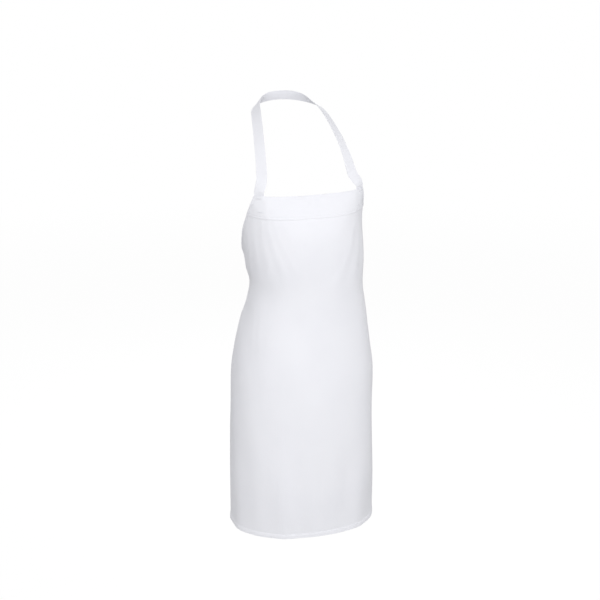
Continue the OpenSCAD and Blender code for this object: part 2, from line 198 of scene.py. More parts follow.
class WornShape:
    """The outer face of the frame's panel, as a table of points.

    A place on the cloth is (across, down): across runs from -1 at the wearer's right edge to 1 at
    the left edge, and down is the distance from the bib's top along the cloth."""

    columns = 81
    level_step = 0.006
    # 1 would be a straight armhole edge on the flat cloth, and more bows it inwards
    armhole_bow = 1.06

    def __init__(self, cut):
        self.cut = cut
        low, high = box_of("body_panel")
        side_low, _ = box_of("side_hem_left")
        self.top, self.bottom = high[2], low[2]
        self.rise = side_low[2] - low[2]
        self.fall = (self.top - self.bottom) / cut.panel_length
        lowest = self.bottom + self.rise + self.level_step / 2
        count = int((self.top - lowest) / self.level_step)
        self.levels = np.linspace(self.top - 1e-5, lowest, count)
        skin = self.outer_skin()
        self.rings = np.array([self.ring(skin, z) for z in self.levels])

    def outer_skin(self):
        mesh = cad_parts["body_panel"].data
        mesh.calc_loop_triangles()
        points = np.array([v.co[:] for v in mesh.vertices])
        corners = points[np.array([t.vertices[:] for t in mesh.loop_triangles])]
        normals = unit(np.cross(corners[:, 1] - corners[:, 0], corners[:, 2] - corners[:, 0]))
        self.middle = (points.min(0) + points.max(0)) / 2
        outward = unit((corners.mean(1) - self.middle)[:, :2])
        facing = (normals[:, :2] * outward).sum(1)
        return corners[(facing > 0.25) & (np.abs(normals[:, 2]) < 0.8)]

    def ring(self, skin, z):
        """The outline at one height, as evenly spaced points from the right edge to the left."""
        cut_points = []
        for a, b in ((0, 1), (1, 2), (2, 0)):
            za, zb = skin[:, a, 2], skin[:, b, 2]
            crossed = (za - z) * (zb - z) < 0
            t = ((z - za[crossed]) / (zb[crossed] - za[crossed]))[:, None]
            cut_points.append(skin[crossed, a] * (1 - t) + skin[crossed, b] * t)
        flat = np.vstack(cut_points)[:, :2]
        turn = np.arctan2(flat[:, 0] - self.middle[0], self.middle[1] - flat[:, 1])
        flat = flat[np.argsort(turn)]
        far = arc_lengths(flat)
        even = np.linspace(0, far[-1], self.columns)
        return np.stack([np.interp(even, far, flat[:, k]) for k in (0, 1)], 1)

    def half_width(self, down):
        share = np.clip(np.asarray(down) / self.cut.armhole_depth, 0, 1)
        return (self.cut.bib_width
                + (self.cut.skirt_width - self.cut.bib_width) * share ** self.armhole_bow) / 2

    def height(self, across, down):
        below = (down - self.cut.armhole_depth) / (self.cut.panel_length - self.cut.armhole_depth)
        return self.top - down * self.fall + self.rise * across ** 2 * smooth(below)

    def place(self, across, down):
        """Points of the outer face. across and down are grids of the same shape."""
        z = self.height(across, down)
        row = np.clip((self.levels[0] - z) / (self.levels[0] - self.levels[-1]), 0, 1)
        row = row * (len(self.levels) - 1)
        column = (np.clip(across, -1, 1) + 1) / 2 * (self.columns - 1)
        r = np.minimum(row.astype(int), len(self.levels) - 2)
        c = np.minimum(column.astype(int), self.columns - 2)
        tr, tc = (row - r)[..., None], (column - c)[..., None]
        grid = self.rings
        flat = ((grid[r, c] * (1 - tc) + grid[r, c + 1] * tc) * (1 - tr)
                + (grid[r + 1, c] * (1 - tc) + grid[r + 1, c + 1] * tc) * tr)
        return np.concatenate([flat, z[..., None]], -1)


def grid_normals(points):
    """Outward normals of a grid whose rows run down and whose columns run to the wearer's left."""
    return unit(np.cross(np.gradient(points, axis=0), np.gradient(points, axis=1)))


class DrapedCloth:
    """The panel's surface after it has been draped, which every sewn piece is laid on."""

    def __init__(self, worn, acrosses, downs, points):
        self.worn = worn
        self.acrosses, self.downs = acrosses, downs
        self.points = points
        self.normals = grid_normals(points)

    def sample(self, table, across, down):
        """Smooth value of a table at each (across, down), by a cubic through four neighbours."""
        c = np.interp(across, self.acrosses, np.arange(len(self.acrosses)))
        r = np.interp(down, self.downs, np.arange(len(self.downs)))

        def weights(t):
            i = np.floor(t).astype(int)
            f = (t - i)[..., None]
            return i, (-f / 2 + f ** 2 - f ** 3 / 2, 1 - 2.5 * f ** 2 + 1.5 * f ** 3,
                       f / 2 + 2 * f ** 2 - 1.5 * f ** 3, -f ** 2 / 2 + f ** 3 / 2)

        ci, cw = weights(c)
        ri, rw = weights(r)
        total = 0
        for a in range(4):
            for b in range(4):
                rows = np.clip(ri + a - 1, 0, len(self.downs) - 1)
                cols = np.clip(ci + b - 1, 0, len(self.acrosses) - 1)
                total = total + rw[a] * cw[b] * table[rows, cols]
        return total

    def at(self, across, down, off=0.0):
        across, down = np.broadcast_arrays(np.asarray(across, float), np.asarray(down, float))
        p = self.sample(self.points, across, down)
        n = unit(self.sample(self.normals, across, down))
        return p + n * (relief(self.worn.cut, across, down, self.worn.half_width(down))
                        + off)[..., None]

    def normal(self, across, down):
        across, down = np.broadcast_arrays(np.asarray(across, float), np.asarray(down, float))
        return unit(self.sample(self.normals, across, down))


def ripple(x, y, seed):
    """Even, repeatable wrinkles: a sum of waves whose directions and lengths differ."""
    draws = np.random.default_rng(seed)
    total = 0
    for _ in range(14):
        angle, start = draws.uniform(0, math.pi), draws.uniform(0, 2 * math.pi)
        wave = draws.uniform(0.045, 0.17)
        total = total + wave / 0.12 * np.sin(
            (x * math.cos(angle) + y * math.sin(angle)) * 2 * math.pi / wave + start)
    return total / 14 ** 0.5


def pulls(x, down, middle, level, reach, count):
    """Short creases that spread from a sewn seam, as waves round the seam's middle."""
    beside, below = np.abs(x) - middle, down - level
    far, turn = np.hypot(beside, below), np.arctan2(below, -beside)
    fade = np.exp(-((far - 0.6 * reach) / (0.5 * reach)) ** 2) * smooth(far / (0.4 * reach))
    return fade * np.sin(count * turn + 0.9 * np.sin(x * 30)) * (0.6 + 0.4 * np.sin(far * 90))


def facing_row(cut, sewing):
    """How far down the cloth the facing's row of stitches runs."""
    return cut.facing_depth - sewing.inset - 0.001


def bottom_row(cut, sewing):
    """How far down the cloth the bottom hem's row of stitches runs."""
    return cut.panel_length - cut.hem_width + sewing.inset


# how far the layers behind lift the cloth, and how wide a row of stitches draws it in
FACING_LIFT, HEM_LIFT, ROW_SPREAD = 0.0014, 0.0008, 0.0016


def relief(cut, across, down, half):
    """How far the cloth stands out over its hems and puckers along its rows of stitches."""
    sewing = bpy.context.scene.apron_sewing
    x = across * half
    from_side = half - np.abs(x)
    out = FACING_LIFT * (1 - smooth((down - cut.facing_depth) / 0.0025))
    out = out + HEM_LIFT * smooth((down - (cut.panel_length - cut.hem_width)) / 0.002)
    low = down > cut.armhole_depth
    out = out + np.where(low, HEM_LIFT * (1 - smooth((from_side - cut.hem_width) / 0.002)), 0)
    side_row = cut.hem_width - sewing.inset
    waves = 0.6 + 0.4 * np.sin(x * 620 + 2 * np.sin(x * 41)) * np.sin(x * 173 + 1)
    sides = 0.6 + 0.4 * np.sin(down * 590 + 2 * np.sin(down * 37)) * np.sin(down * 163)
    for row in (facing_row(cut, sewing), bottom_row(cut, sewing)):
        out = out - 2 * sewing.pucker * waves * np.exp(-((down - row) / ROW_SPREAD) ** 2)
    out = out - np.where(low, 2 * sewing.pucker * sides
                         * np.exp(-((from_side - side_row) / ROW_SPREAD) ** 2), 0)
    calm = smooth((down - 0.02) / 0.10)
    out = out + cut.rumple * 0.45 * ripple(x, down * 0.42, 11) * (0.35 + 0.65 * calm)
    hanging = smooth((down - 0.42) / 0.40)
    sway = np.sin(x * 52 + 1.1 * np.sin(down * 7 + x * 9) + 0.6) + 0.5 * np.sin(x * 97 - down * 4)
    creases = pulls(x, down, cut.skirt_width / 2 - 0.014, cut.armhole_depth + 0.014, 0.11, 7)
    corners = pulls(x, down, cut.bib_width / 2 - 0.014, cut.strap_seam, 0.055, 5)
    out = out + cut.crease * (creases + 0.35 * corners)
    swing = smooth((down - 0.70) / (cut.panel_length - 0.70)) ** 1.5
    return out + cut.fold * hanging * sway - cut.swing * swing


# ---------------------------------------------------------------- building meshes
def deselect_all():
    bpy.ops.object.select_all(action="DESELECT")


def make_active(piece):
    deselect_all()
    piece.select_set(True)
    bpy.context.view_layer.objects.active = piece


def apply_modifier(piece, name):
    make_active(piece)
    bpy.ops.object.modifier_apply(modifier=name)


def add_grid(name, rows, columns):
    """A flat grid with a vertex for each row and column, and its vertices' (row, column)."""
    deselect_all()
    bpy.ops.mesh.primitive_grid_add(x_subdivisions=columns - 1, y_subdivisions=rows - 1, size=2)
    piece = bpy.context.object
    piece.name = piece.data.name = name
    flat = np.empty(len(piece.data.vertices) * 3)
    piece.data.vertices.foreach_get("co", flat)
    flat = flat.reshape(-1, 3)
    row = np.rint((1 - flat[:, 1]) / 2 * (rows - 1)).astype(int)
    column = np.rint((flat[:, 0] + 1) / 2 * (columns - 1)).astype(int)
    return piece, row, column


def cloth_piece(name, points, thickness, pattern, side=0.0, thin=None, rounds=0):
    """A piece of cloth whose middle follows a grid of points.

    pattern is the grid's (x, y) on the flat cloth, for the weave. side is Solidify's offset, and
    thin is the share of the thickness that each column has."""
    rows, columns = points.shape[:2]
    piece, row, column = add_grid(name, rows, columns)
    mesh = piece.data
    mesh.vertices.foreach_set("co", points[row, column].ravel())
    weave = mesh.uv_layers[0]
    weave.name = "weave"
    corner = np.empty(len(mesh.loops), int)
    mesh.loops.foreach_get("vertex_index", corner)
    weave.data.foreach_set("uv", pattern[row[corner], column[corner]].ravel())
    mesh.update()
    wall = piece.modifiers.new("layers", "SOLIDIFY")
    wall.thickness = thickness
    wall.offset = side
    if thin is not None:
        group = piece.vertex_groups.new(name="layers")
        for c in range(columns):
            group.add([int(i) for i in np.where(column == c)[0]], float(thin[c]), "REPLACE")
        wall.vertex_group = group.name
    apply_modifier(piece, wall.name)
    if rounds:
        soften = piece.modifiers.new("rounds", "SUBSURF")
        soften.levels = soften.render_levels = rounds
        apply_modifier(piece, soften.name)
    piece.vertex_groups.clear()
    make_active(piece)
    bpy.ops.object.shade_smooth()
    return piece


def flat_pattern(across, down, half):
    return np.stack([across * half, -down], -1)


def repeat_shape(name, shape, places):
    """One mesh that holds a copy of a small shape at each 3 by 4 placing."""
    mesh = shape.data
    points = np.array([v.co[:] for v in mesh.vertices])
    faces = [tuple(p.vertices) for p in mesh.polygons]
    many = np.concatenate([points @ m[:, :3].T + m[:, 3] for m in places])
    step = len(points)
    all_faces = [tuple(v + k * step for v in f) for k in range(len(places)) for f in faces]
    bpy.data.objects.remove(shape, do_unlink=True)
    joined = bpy.data.meshes.new(name)
    joined.from_pydata([tuple(p) for p in many], [], all_faces)
    joined.update()
    piece = bpy.data.objects.new(name, joined)
    bpy.context.collection.objects.link(piece)
    joined.polygons.foreach_set("use_smooth", [True] * len(joined.polygons))
    return piece


def thread_loop():
    """One stitch: a short, blunt spindle of thread that lies along X."""
    deselect_all()
    bpy.ops.mesh.primitive_uv_sphere_add(segments=6, ring_count=5, radius=0.5)
    loop = bpy.context.object
    for v in loop.data.vertices:
        length, bulge = v.co.z, math.sqrt(max(0.0, 1 - (2 * v.co.z) ** 4))
        wide = math.hypot(v.co.x, v.co.y)
        keep = bulge * 0.5 / wide if wide > 1e-6 else 0
        v.co = (length, v.co.x * keep, v.co.y * keep - 0.25 * (2 * length) ** 2)
    return loop


def stitch_row(name, path, normals):
    """A sewn row of stitches along a path, on the side that the normals point to."""
    sewing = bpy.context.scene.apron_sewing
    far = arc_lengths(path)
    count = max(1, int(far[-1] / sewing.pitch))
    middles = (np.arange(count) + 0.5) * far[-1] / count
    place = np.stack([np.interp(middles, far, path[:, k]) for k in range(3)], 1)
    ahead = np.stack([np.interp(middles + 1e-3, far, path[:, k])
                      - np.interp(middles - 1e-3, far, path[:, k]) for k in range(3)], 1)
    up = unit(np.stack([np.interp(middles, far, normals[:, k]) for k in range(3)], 1))
    along = unit(ahead)
    across = unit(np.cross(up, along))
    up = np.cross(along, across)
    frames = []
    for p, a, c, u in zip(place, along, across, up):
        frames.append(np.stack([a * sewing.stitch, c * sewing.thread, u * sewing.thread,
                                p + u * (0.15 * sewing.thread)], 1))
    return repeat_shape(name, thread_loop(), frames)


def join(name, pieces):
    make_active(pieces[0])
    for piece in pieces[1:]:
        piece.select_set(True)
    bpy.ops.object.join()
    pieces[0].name = pieces[0].data.name = name
    return pieces[0]


def finish(piece, material, body=None, replaces=()):
    piece.data.materials.clear()
    piece.data.materials.append(material)
    if body:
        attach(piece, body)
    if replaces:
        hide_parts(*replaces)
    return piece


# ---------------------------------------------------------------- shader maths
class Value:
    """A shader socket that carries a number, for writing node maths as Python expressions."""

    def __init__(self, shader, socket):
        self.shader, self.socket = shader, socket

    def maths(self, operation, *others):
        return Value(self.shader, self.shader.node(
            "ShaderNodeMath", {"operation": operation}, {0: self, **dict(enumerate(others, 1))}))

    def __add__(self, other): return self.maths("ADD", other)
    def __sub__(self, other): return self.maths("SUBTRACT", other)
    def __rsub__(self, other): return self.maths("MULTIPLY", -1.0).maths("ADD", other)
    def __mul__(self, other): return self.maths("MULTIPLY", other)
    def sin(self): return self.maths("SINE")
    def clamp(self): return self.maths("MAXIMUM", 0.0).maths("MINIMUM", 1.0)


class Shader:
    """The nodes of one material, or of the world."""

    def __init__(self, name, world=None):
        self.owner = world or bpy.data.materials.new(name)
        self.owner.use_nodes = True
        self.tree = self.owner.node_tree
        self.tree.nodes.clear()
        self.output = self.tree.nodes.new(
            "ShaderNodeOutputWorld" if world else "ShaderNodeOutputMaterial")

    def node(self, kind, settings=None, inputs=None, output=0):
        made = self.tree.nodes.new(kind)
        for key, value in (settings or {}).items():
            setattr(made, key, value)
        for key, value in (inputs or {}).items():
            self.feed(made.inputs[key], value)
        return made.outputs[output]

    def feed(self, socket, value):
        if isinstance(value, Value):
            value = value.socket
        if isinstance(value, bpy.types.NodeSocket):
            self.tree.links.new(value, socket)
        elif isinstance(value, (tuple, list)) and len(value) == 3 and socket.type == "RGBA":
            socket.default_value = (*value, 1.0)
        else:
            socket.default_value = value

    def value(self, *args, **named):
        return Value(self, self.node(*args, **named))

    def mix(self, factor, a, b):
        return self.node("ShaderNodeMix", {"data_type": "RGBA"}, {0: factor, 6: a, 7: b}, output=2)

    def noise(self, place, scale, detail=3.0):
        return self.value("ShaderNodeTexNoise", {"noise_dimensions": "3D"},
                          {"Vector": place, "Scale": scale, "Detail": detail})

    def seen_directly(self):
        """1 where the eye looks, straight or by way of a mirror or glass, and 0 for other light."""
        path = self.tree.nodes.new("ShaderNodeLightPath")
        camera, glossy, through = (Value(self, path.outputs[f"Is {kind} Ray"])
                                   for kind in ("Camera", "Glossy", "Transmission"))
        return camera.maths("MAXIMUM", glossy).maths("MAXIMUM", through)

    def surface(self, **sockets):
        made = self.tree.nodes.new("ShaderNodeBsdfPrincipled")
        for key, value in sockets.items():
            self.feed(made.inputs[key.replace("_", " ")], value)
        self.tree.links.new(made.outputs[0], self.output.inputs["Surface"])
        return self.owner


def twill_material(name, colour, crease, pitch, rib_depth, rough=0.86):
    """Woven twill: slanting ribs of floats over the warp, a faint slub that is greyer where it
    swells, and painted shade, with soft creases as cloudy grey patches and darker grooves between
    the ribs.
    """
    shader = Shader(name)
    weave = shader.node("ShaderNodeUVMap", {"uv_map": "weave"})
    split = shader.tree.nodes.new("ShaderNodeSeparateXYZ")
    shader.tree.links.new(weave, split.inputs[0])
    x, y = Value(shader, split.outputs[0]), Value(shader, split.outputs[1])
    turn = 2 * math.pi / pitch
    ribs = ((x * 0.82 + y * 0.57) * turn).sin() * 0.5 + 0.5
    floats = (((x * 0.57 - y * 0.82) * (turn * 1.9)).sin()) * 0.5 + 0.5
    place = shader.node("ShaderNodeTexCoord", output=3)
    slub = shader.noise(place, 900.0, 2.0)
    # painted shade: crease shade in cloudy patches and darker grooves where the ribs are low. The
    # slub adds a real greyer yarn tone
    crease_shade_cloud = shader.noise(place, 9.0, 3.0)
    painted_shade_and_slub = ((crease_shade_cloud - 0.42) * 2.2).clamp() * 0.35 + (1 - ribs) * 0.16 + (slub - 0.5) * 0.10
    tint = shader.mix(painted_shade_and_slub.clamp(), colour, crease)
    height = ribs * 0.65 + floats * ribs * 0.25 + slub * 0.35
    bump = shader.node("ShaderNodeBump", inputs={
        "Strength": 0.6, "Distance": rib_depth, "Height": height})
    return shader.surface(Base_Color=tint, Roughness=(slub * 0.08 + rough).clamp(),
                          Normal=bump, Sheen_Weight=0.12, Sheen_Roughness=0.5,
                          Specular_IOR_Level=0.22)


def thread_material(colour):
    """Spun thread, with the slanting twist of its plies."""
    shader = Shader("sewing_thread")
    place = shader.node("ShaderNodeTexCoord", output=3)
    twist = shader.value("ShaderNodeTexWave", {"wave_type": "BANDS", "bands_direction": "DIAGONAL"},
                         {"Vector": place, "Scale": 420.0, "Distortion": 1.5}, output=1)
    tint = shader.mix(twist * 0.35, colour, tuple(c * 0.86 for c in colour))
    bump = shader.node("ShaderNodeBump", inputs={
        "Strength": 0.5, "Distance": 0.0001, "Height": twist})
    return shader.surface(Base_Color=tint, Roughness=0.7, Normal=bump, Sheen_Weight=0.2,
                          Specular_IOR_Level=0.3)


def label_material(colour):
    """Satin tape: fine level ribs and a soft gloss."""
    shader = Shader("label_satin")
    weave = shader.node("ShaderNodeUVMap", {"uv_map": "weave"})
    split = shader.tree.nodes.new("ShaderNodeSeparateXYZ")
    shader.tree.links.new(weave, split.inputs[0])
    ribs = (Value(shader, split.outputs[1]) * (2 * math.pi / 0.0005)).sin() * 0.5 + 0.5
    tint = shader.mix(ribs * 0.3, colour, tuple(c * 0.9 for c in colour))
    bump = shader.node("ShaderNodeBump", inputs={
        "Strength": 0.4, "Distance": 0.00006, "Height": ribs})
    return shader.surface(Base_Color=tint, Roughness=0.42, Normal=bump, Specular_IOR_Level=0.5)


def finishes():
    """The four materials of the apron, made once."""
    if "woven_panel" not in bpy.data.materials:
        look = bpy.context.scene.apron_finish
        cloth, crease = tuple(look.cloth), tuple(look.crease)
        twill_material("woven_panel", cloth, crease, look.twill_pitch, 0.00022)
        twill_material("woven_strap", cloth, crease, look.twill_pitch * 0.9, 0.0002)
        thread_material(tuple(look.thread))
        label_material(tuple(look.label))
    return bpy.data.materials


# ---------------------------------------------------------------- draping
DRAPE = {}
# how far the wearer's form lies inside the worn shape, and the cloth outside it at the start
FORM_INSET, START_OFF = 0.0028, 0.0012


def wearer_form(worn):
    """The body that the cloth lies on, a little inside the worn shape and closed at the back."""
    around, levels = 72, np.arange(0, len(worn.rings), 3)
    middle = worn.middle[:2].copy()
    turns = np.linspace(-math.pi, math.pi, around, endpoint=False)
    rings = []
    for k in levels:
        ring = worn.rings[k]
        turn = np.arctan2(ring[:, 0] - middle[0], middle[1] - ring[:, 1])
        reach = np.linalg.norm(ring - middle, axis=1)
        back = 0.75 * (reach[0] + reach[-1]) / 2 + 0.25 * np.median(reach)
        turn = np.concatenate([[-math.pi], turn, [math.pi]])
        reach = np.concatenate([[back], reach, [back]])
        r = np.interp(turns, turn, reach) - FORM_INSET
        rings.append(np.stack([middle[0] + r * np.sin(turns), middle[1] - r * np.cos(turns),
                               np.full(around, worn.levels[k])], 1))
    rings = np.array(rings)
    top = rings[:1].copy()
    top[..., :2] = middle + (top[..., :2] - middle) * 0.8
    top[..., 2] += 0.02
    rings = np.concatenate([top, rings])
    count = len(rings)
    faces = [(r * around + c, (r + 1) * around + c,
              (r + 1) * around + (c + 1) % around, r * around + (c + 1) % around)
             for r in range(count - 1) for c in range(around)]
    mesh = bpy.data.meshes.new("wearer_form")
    mesh.from_pydata([tuple(p) for p in rings.reshape(-1, 3)], [], faces)
    mesh.update()
    form = bpy.data.objects.new("wearer_form", mesh)
    bpy.context.collection.objects.link(form)
    make_active(form)
    bpy.ops.object.mode_set(mode="EDIT")
    bpy.ops.mesh.select_all(action="SELECT")
    bpy.ops.mesh.normals_make_consistent(inside=False)
    bpy.ops.object.mode_set(mode="OBJECT")
    form.modifiers.new("Collision", "COLLISION")
    form.collision.thickness_outer = 0.001
    form.collision.thickness_inner = 0.004
    form.collision.cloth_friction = 8.0
    return form


def drape_panel(worn, cut, columns=61, rows=87, frames=48, cap=0.010):
    """Cloth simulation of the panel: cut flat, held by the straps and the ties, hung on the form."""
    acrosses, downs = np.linspace(-1, 1, columns), np.linspace(0, cut.panel_length, rows)
    across, down = np.meshgrid(acrosses, downs)
    half = worn.half_width(down)
    start = blur(worn.place(across, down), 6)
    cloth, row, column = add_grid("draping_cloth", rows, columns)
    lying = start + grid_normals(start) * START_OFF
    cloth.data.vertices.foreach_set("co", lying[row, column].ravel())
    cloth.shape_key_add(name="worn")
    flat = cloth.shape_key_add(name="cut flat")
    pattern = np.stack([across * half, np.zeros_like(down), worn.top - down], -1)
    flat.data.foreach_set("co", pattern[row, column].ravel())
    held = cloth.vertex_groups.new(name="held")
    x = across * half
    strap_in = cut.bib_width / 2 - cut.strap_width * 1.05
    by_strap = (np.abs(x) > strap_in) & (down < cut.strap_seam * 0.6)
    from_edge = half - np.abs(x)
    by_tie = ((from_edge < cut.tie_seam) & (down > cut.armhole_depth - 0.002)
              & (down < cut.armhole_depth + cut.strap_width + 0.006))
    grip = np.where(by_strap | by_tie, 1.0, 0.0)
    for index in range(len(row)):
        if grip[row[index], column[index]] > 0:
            held.add([index], 1.0, "REPLACE")
    fabric = cloth.modifiers.new("Cloth", "CLOTH")
    twill = fabric.settings
    twill.quality = 7
    twill.mass = 0.25
    twill.tension_stiffness = twill.compression_stiffness = 35
    twill.shear_stiffness = 12
    twill.bending_stiffness = 3.0
    twill.tension_damping = twill.compression_damping = 15
    twill.air_damping = 2.0
    twill.vertex_group_mass = held.name
    twill.pin_stiffness = 1.0
    twill.rest_shape_key = flat
    fabric.collision_settings.distance_min = 0.0015
    fabric.collision_settings.collision_quality = 3
    fabric.collision_settings.friction = 8.0
    fabric.point_cache.frame_start, fabric.point_cache.frame_end = 1, frames
    form = wearer_form(worn)
    scene = bpy.context.scene
    for step in range(1, frames + 1):
        scene.frame_set(step)
    hung = cloth.evaluated_get(bpy.context.evaluated_depsgraph_get()).to_mesh()
    found = np.empty(len(hung.vertices) * 3)
    hung.vertices.foreach_get("co", found)
    points = np.empty((rows, columns, 3))
    points[row, column] = found.reshape(-1, 3)
    for done in (cloth, form):
        bpy.data.objects.remove(done, do_unlink=True)
    scene.frame_set(1)
    moved = points - start
    far = np.linalg.norm(moved, axis=-1, keepdims=True)
    points = start + moved * (cap * np.tanh(far / cap) / np.maximum(far, 1e-9))
    return DrapedCloth(worn, acrosses, downs, blur(points, 1))


def draped():
    if "cloth" not in DRAPE:
        cut = bpy.context.scene.apron_cut
        DRAPE["cloth"] = drape_panel(WornShape(cut), cut)
    return DRAPE["cloth"]


# ---------------------------------------------------------------- straps
# from a strap's edge to its row of stitches
STRAP_ROW_INSET = 0.0025
# how much closer the lumps of a strap lie across it than along it
LUMP_SCALE = 2.2


def strap_profile(width):
    """Columns across a folded strap, as (distance from the middle, share of the thickness)."""
    half = width / 2
    seam = half - STRAP_ROW_INSET
    shares = [(-half, 0.55), (-half + 0.0008, 0.95), (-seam - 0.0008, 0.95), (-seam, 0.60),
              (-seam + 0.0010, 0.92), (-half * 0.4, 1.0), (0.0, 0.94)]
    shares += [(-x, t) for x, t in reversed(shares[:-1])]
    return shares


def tape(name, middles, faces, halves, thickness, waves, seed):
    """A folded strap along a route, with its edge seams pressed in."""
    middles, faces = np.asarray(middles, float), unit(faces)
    along = unit(np.gradient(middles, axis=0))
    across = unit(np.cross(faces, along))
    faces = np.cross(along, across)
    far = arc_lengths(middles)
    wide = np.asarray(halves, float)
    profile = strap_profile(2 * wide.max())
    share = np.array([x for x, _ in profile]) / wide.max()
    points = (middles[:, None] + across[:, None] * (share[None, :, None] * wide[:, None, None]))
    lumps = waves * ripple(share[None, :] * wide[:, None] * LUMP_SCALE, far[:, None], seed)
    points = points + faces[:, None] * lumps[..., None]
    x = share[None, :] * wide[:, None]
    pattern = np.stack([x, np.broadcast_to(far[:, None], x.shape)], -1)
    piece = cloth_piece(name, points, thickness, pattern, thin=[t for _, t in profile], rounds=1)
    return piece, (middles, across, faces, wide, far)


def tape_rows(name, route, thickness, first, last, waves, seed):
    """The two rows of stitches along a strap, on its outer face."""
    middles, across, faces, wide, far = route
    keep = (far >= first) & (far <= far[-1] - last)
    rows = []
    for edge in (-1, 1):
        share = edge * (wide - STRAP_ROW_INSET) / wide
        lump = waves * ripple(share * wide * LUMP_SCALE, far, seed)
        path = (middles + across * (edge * (wide - STRAP_ROW_INSET))[:, None]
                + faces * (lump + thickness * 0.30)[:, None])
        rows.append(stitch_row(f"{name}_{edge}", path[keep], faces[keep]))
    return join(name, rows)


def bar_tack(name, middle, across, along, out, width, height, count):
    """A bar of close, parallel stitches."""
    sewing = bpy.context.scene.apron_sewing
    frames = []
    for k in range(count):
        at = middle + across * (k / (count - 1) - 0.5) * width
        frames.append(np.stack([along * height, np.cross(out, along) * sewing.thread * 0.9,
                                out * sewing.thread * 1.2, at + out * sewing.thread * 0.3], 1))
    return repeat_shape(name, thread_loop(), frames)


# ---------------------------------------------------------------- the panel and its edges
def laid(name, downs, insets, off, thickness, side=0):
    """A layer of cloth on the panel. insets(half) gives each column's distance from the middle."""
    cloth = draped()
    halves = cloth.worn.half_width(downs)
    x = np.array([insets(half) for half in halves])
    down = np.broadcast_to(downs[:, None], x.shape)
    half = halves[:, None]
    return cloth_piece(name, cloth.at(x / half, down, off), thickness,
                       flat_pattern(x / half, down, half), side)


def between(start, end, step):
    return np.linspace(start, end, max(2, int(round(abs(end - start) / step)) + 1))


def around_row(row, reach=0.003):
    """Extra levels that draw the pucker along one row of stitches."""
    return row + reach * np.array([-1, -0.6, -0.3, 0, 0.3, 0.6, 1])


def levels_of(*parts):
    """All the given levels in order, without any that nearly repeat."""
    levels = np.sort(np.concatenate([np.atleast_1d(p) for p in parts]))
    keep = [levels[0]]
    for level in levels[1:-1]:
        if min(level - keep[-1], levels[-1] - level) > 0.0006:
            keep.append(level)
    return np.array(keep + [levels[-1]])


class APRON_OT_panel(bpy.types.Operator):
    """Drape the panel: one piece of twill from the bib's top to the bottom edge"""
    bl_idname = "apron.panel"
    bl_label = "Panel"

    def execute(self, context):
        scene = context.scene
        cut, sewing = scene.apron_cut, scene.apron_sewing
        edge = np.concatenate([[0, 0.0012, 0.003], around_row(cut.hem_width - sewing.inset, 0.0024),
                               [cut.hem_width + 0.0008, cut.hem_width + 0.002, 0.0175]])
        edge = np.sort(edge)

        def columns(half):
            inner = np.linspace(-1, 1, 123) * (half - 0.021)
            return np.concatenate([edge - half, inner, (half - edge)[::-1]])

        downs = levels_of(between(0, cut.panel_length, 0.0045), [0.0008, 0.002],
                          around_row(facing_row(cut, sewing)),
                          cut.facing_depth + np.array([0.0006, 0.0014, 0.0024]),
                          around_row(bottom_row(cut, sewing)),
                          cut.panel_length - np.array([0.0008, 0.002, 0.013]))
        panel = laid("panel", downs, columns, 0, cut.twill, side=-1)
        finish(panel, finishes()["woven_panel"], "apron", ["body_panel"])
        return {"FINISHED"}


class APRON_OT_hems(bpy.types.Operator):
    """Lay the facing behind the bib's top and turn the hems of the skirt"""
    bl_idname = "apron.hems"
    bl_label = "Facing and hems"

    def execute(self, context):
        scene = context.scene
        cut, sewing = scene.apron_cut, scene.apron_sewing
        twill = finishes()["woven_panel"]
        behind = -cut.twill - 0.0002
        top = levels_of(between(0.0004, cut.facing_depth, 0.0045), [cut.facing_depth - 0.0008],
                        around_row(facing_row(cut, sewing)))
        facing = laid("facing", top, lambda half: np.linspace(-1, 1, 91) * (half - 0.008),
                      behind, cut.twill, side=-1)
        finish(facing, twill, "apron", ["bib_facing"])
        turned = np.array([0.0004, 0.001, 0.003, 0.0055, 0.008, 0.0095, 0.0105, 0.0115, 0.012])
        turned = turned * cut.hem_width / 0.012
        downs = between(cut.armhole_depth, cut.panel_length - 0.0003, 0.0045)
        for side in (LEFT, RIGHT):
            piece = laid(f"side_hem_{SIDE_NAME[side]}_turned", downs,
                         lambda half: np.sort(side * (half - turned)), behind, 2 * cut.twill,
                         side=-1)
            finish(piece, twill, "apron", [f"side_hem_{SIDE_NAME[side]}"])
        low = cut.panel_length - turned[::-1]
        bottom = laid("bottom_hem_turned", low,
                      lambda half: np.linspace(-1, 1, 131) * (half - cut.hem_width - 0.0003),
                      behind, 2 * cut.twill, side=-1)
        finish(bottom, twill, "apron", ["bottom_hem"])
        return {"FINISHED"}


def edge_point(cloth, side, down, inward, off):
    """A point by the panel's edge. Where inward is below zero, it is beyond the edge."""
    half = cloth.worn.half_width(down)
    inside = cloth.at(side * (half - np.maximum(inward, 0)) / half, down, off)
    near = cloth.at(side * np.ones_like(down), down)
    out = unit(near - cloth.at(side * (half - 0.003) / half, down))
    return inside + out * np.maximum(-inward, 0)[..., None]


